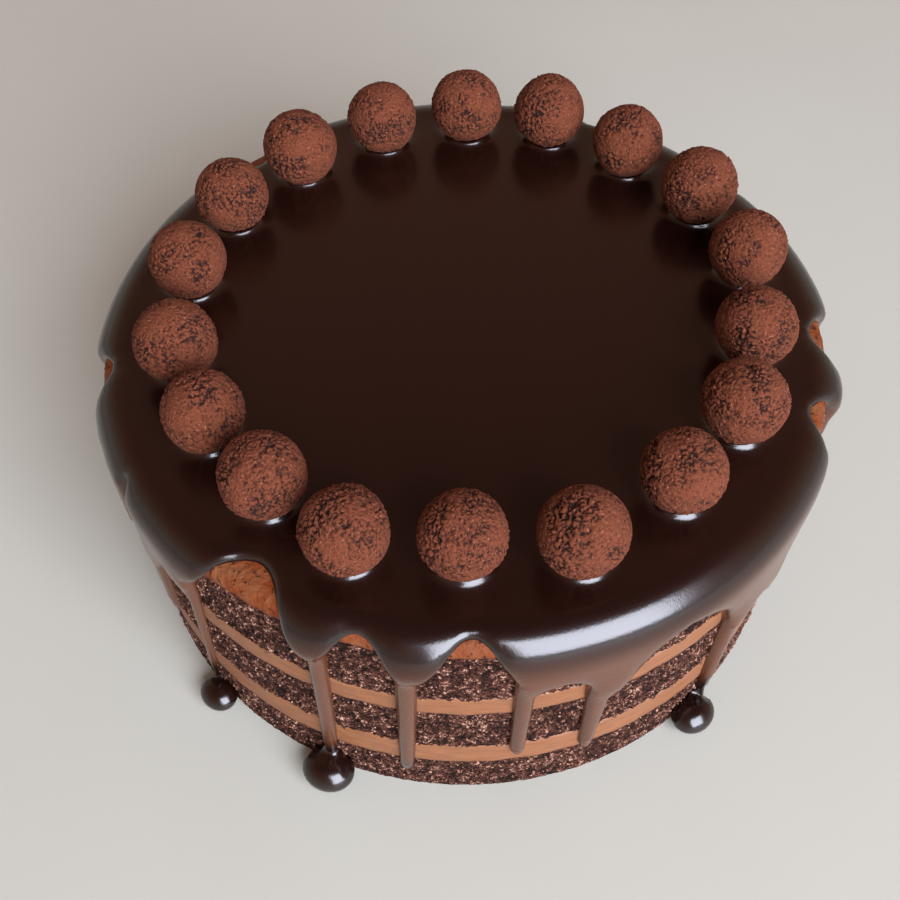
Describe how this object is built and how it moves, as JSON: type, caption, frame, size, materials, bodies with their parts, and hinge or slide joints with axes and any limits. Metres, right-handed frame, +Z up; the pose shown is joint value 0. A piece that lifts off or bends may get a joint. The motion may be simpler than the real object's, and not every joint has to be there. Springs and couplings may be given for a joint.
{
  "type": "chocolate truffle cake",
  "caption": "Round layer cake of dark sponge and milk chocolate cream under a glossy dark glaze that runs down in drips, topped with a ring of cocoa truffles.",
  "frame": {"origin": "middle of the flat base, where the cake stands", "axes": "+Z up along the cake's axis; -Y is the front that the picture shows; +X is the picture's right"},
  "size_m": [0.2255, 0.2365, 0.1175],
  "materials": {
    "sponge": "dark chocolate sponge, coarse open crumb, matte",
    "cream": "whipped milk chocolate cream, smooth, satin",
    "coat": "thin cream coat with sponge crumbs in it, satin",
    "glaze": "dark chocolate glaze, poured and set, glossy",
    "truffle": "rolled truffle dusted with cocoa, matte and crumbly"
  },
  "bodies": {
    "root": {"sponge_bottom": "sponge", "cream_lower": "cream", "sponge_middle": "sponge", "cream_upper": "cream", "sponge_top": "sponge", "cream_top": "coat", "glaze": "glaze", "truffle_01": "truffle", "truffle_02": "truffle", "truffle_03": "truffle", "truffle_04": "truffle", "truffle_05": "truffle", "truffle_06": "truffle", "truffle_07": "truffle", "truffle_08": "truffle", "truffle_09": "truffle", "truffle_10": "truffle", "truffle_11": "truffle", "truffle_12": "truffle", "truffle_13": "truffle", "truffle_14": "truffle", "truffle_15": "truffle", "truffle_16": "truffle", "truffle_17": "truffle", "truffle_18": "truffle"}
  },
  "joints": []
}
